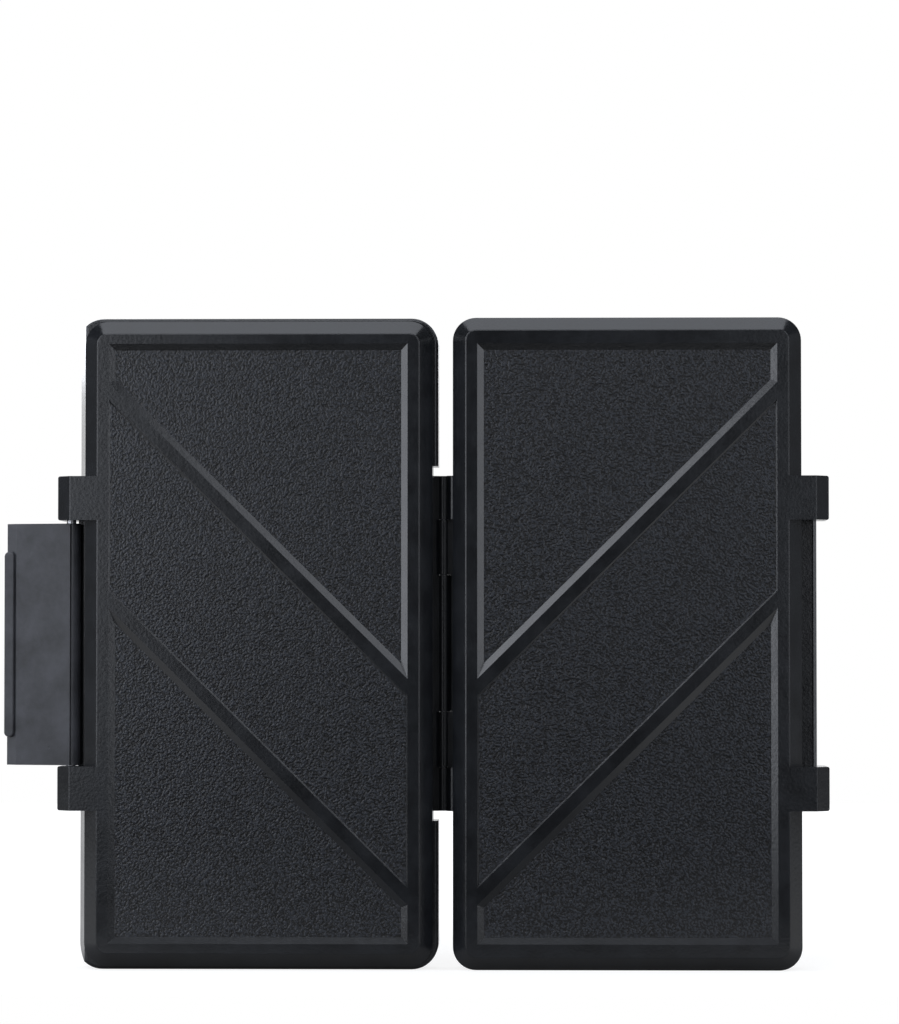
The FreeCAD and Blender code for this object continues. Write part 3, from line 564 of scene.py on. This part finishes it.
def ray_kinds(tree):
    """Whether a ray comes from the camera, and whether it comes off a mirroring or clear surface."""
    path = add_node(tree, "ShaderNodeLightPath")
    mirrored = add_node(tree, "ShaderNodeMath",
                        {0: path.outputs["Is Glossy Ray"], 1: path.outputs["Is Transmission Ray"]},
                        operation="ADD")
    return path.outputs["Is Camera Ray"], mirrored.outputs[0]


def white_floor(settings):
    """Matt white paper: it keeps the shadow beside the case, and its glow makes it plain white
    further off."""
    material, tree = new_material("paper_white_matt")
    from_camera, mirrored = ray_kinds(tree)
    coords = add_node(tree, "ShaderNodeTexCoord")
    distance = add_node(tree, "ShaderNodeVectorMath", {0: coords.outputs["Object"]}, operation="LENGTH")
    glow = add_node(tree, "ShaderNodeMapRange",
                    {"Value": distance.outputs["Value"], "From Min": settings.near_reach,
                     "From Max": settings.far_reach, "To Min": settings.near_glow, "To Max": 1.0},
                    interpolation_type="SMOOTHSTEP")
    footprint = add_node(tree, "ShaderNodeMapping",
                         {"Vector": coords.outputs["Object"], "Scale": FOOTPRINT_SHAPE})
    beside = add_node(tree, "ShaderNodeVectorMath", {0: footprint.outputs[0]}, operation="LENGTH")
    sheen = add_node(tree, "ShaderNodeMapRange",
                     {"Value": beside.outputs["Value"], "From Min": settings.shade_start,
                      "From Max": settings.shade_end, "To Min": settings.near_sheen,
                      "To Max": settings.far_sheen}, interpolation_type="SMOOTHSTEP")
    seen = add_node(tree, "ShaderNodeMath", {0: from_camera, 1: glow.outputs[0]}, operation="MULTIPLY")
    strength = add_node(tree, "ShaderNodeMath", {0: mirrored, 1: sheen.outputs[0], 2: seen.outputs[0]},
                        operation="MULTIPLY_ADD")
    paper = add_node(tree, "ShaderNodeBsdfDiffuse", {"Color": settings.floor_colour})
    white = add_node(tree, "ShaderNodeEmission", {"Strength": strength.outputs[0]})
    both = add_node(tree, "ShaderNodeAddShader", {0: paper.outputs[0], 1: white.outputs[0]})
    add_node(tree, "ShaderNodeOutputMaterial", {"Surface": both.outputs[0]})
    return material


class CASE_OT_stage(bpy.types.Operator):
    """Set the floor, the white surround, the softboxes and the camera"""

    bl_idname = "card_case.stage"
    bl_label = "Set the stage"

    def execute(self, context):
        scene = context.scene
        settings = scene.card_case.stage
        self.floor(scene, settings)
        self.surround(scene, settings)
        for box in SOFTBOXES:
            hang_softbox(box)
        self.camera(scene, settings)
        scene.view_settings.view_transform = "Standard"
        return {"FINISHED"}

    def floor(self, scene, settings):
        """A sheet of white paper that ends a little in front of the case."""
        side, front, back = FLOOR_REACH
        mesh = bpy.data.meshes.new("studio_floor")
        mesh.from_pydata([(-side, -front, 0), (side, -front, 0), (side, back, 0), (-side, back, 0)], [],
                         [(0, 1, 2, 3)])
        mesh.materials.append(white_floor(settings))
        floor = bpy.data.objects.new("studio_floor", mesh)
        scene.collection.objects.link(floor)

    def surround(self, scene, settings):
        """White behind the case and dim in front of it, as in a studio with a lit background."""
        world = bpy.data.worlds.new("studio")
        world.use_nodes = True
        scene.world = world
        tree = world.node_tree
        tree.nodes.clear()
        from_camera, mirrored = ray_kinds(tree)
        coords = add_node(tree, "ShaderNodeTexCoord")
        direction = add_node(tree, "ShaderNodeSeparateXYZ", {0: coords.outputs["Generated"]})
        behind = add_node(tree, "ShaderNodeMapRange",
                          {"Value": direction.outputs["Y"], "From Min": BACKGROUND_START,
                           "From Max": BACKGROUND_FULL})
        reflected = add_node(tree, "ShaderNodeMath", {0: mirrored, 1: behind.outputs[0]},
                             operation="MULTIPLY")
        white = add_node(tree, "ShaderNodeMath", {0: from_camera, 1: reflected.outputs[0]},
                         operation="MAXIMUM")
        strength = add_node(tree, "ShaderNodeMapRange",
                            {"Value": white.outputs[0], "To Min": settings.studio_light, "To Max": 1.0})
        background = add_node(tree, "ShaderNodeBackground",
                              {"Color": (1, 1, 1, 1), "Strength": strength.outputs[0]})
        add_node(tree, "ShaderNodeOutputWorld", {"Surface": background.outputs[0]})

    def camera(self, scene, settings):
        """A camera at the photo's place, with its focal length turned from pixels to millimetres."""
        camera = bpy.data.cameras.new("camera")
        camera.sensor_width = SENSOR_WIDTH
        camera.lens = settings.focal_length / PHOTO_HEIGHT * SENSOR_WIDTH
        camera.clip_start = CAMERA_CLIP
        holder = bpy.data.objects.new("camera", camera)
        holder.location = settings.camera_place
        holder.rotation_euler = settings.camera_turn
        scene.collection.objects.link(holder)
        scene.camera = holder


OPERATORS = (CASE_OT_shells, CASE_OT_latch, CASE_OT_pins, CASE_OT_trays, CASE_OT_seal, CASE_OT_stage)


class CASE_PT_panel(bpy.types.Panel):
    """Steps and settings of the memory card case"""

    bl_idname = "CASE_PT_panel"
    bl_label = "Memory card case"
    bl_space_type = "VIEW_3D"
    bl_region_type = "UI"
    bl_category = "Card case"

    def draw(self, context):
        settings = context.scene.card_case
        for operator in OPERATORS:
            self.layout.operator(operator.bl_idname)
        for group in (settings.shells, settings.latch, settings.inside, settings.stage):
            box = self.layout.box()
            for name in group.__annotations__:
                box.prop(group, name)


CLASSES = (CardCaseShellSettings, CardCaseLatchSettings, CardCaseInsideSettings, CardCaseStageSettings,
           CardCaseSettings, *OPERATORS, CASE_PT_panel)


def register():
    for item in CLASSES:
        bpy.utils.register_class(item)
    bpy.types.Scene.card_case = PointerProperty(type=CardCaseSettings)


def unregister():
    del bpy.types.Scene.card_case
    for item in reversed(CLASSES):
        bpy.utils.unregister_class(item)


def main():
    register()
    bpy.ops.card_case.shells()
    bpy.ops.card_case.latch()
    bpy.ops.card_case.pins()
    bpy.ops.card_case.trays()
    bpy.ops.card_case.seal()
    bpy.ops.card_case.stage()


if __name__ == "__main__":
    main()
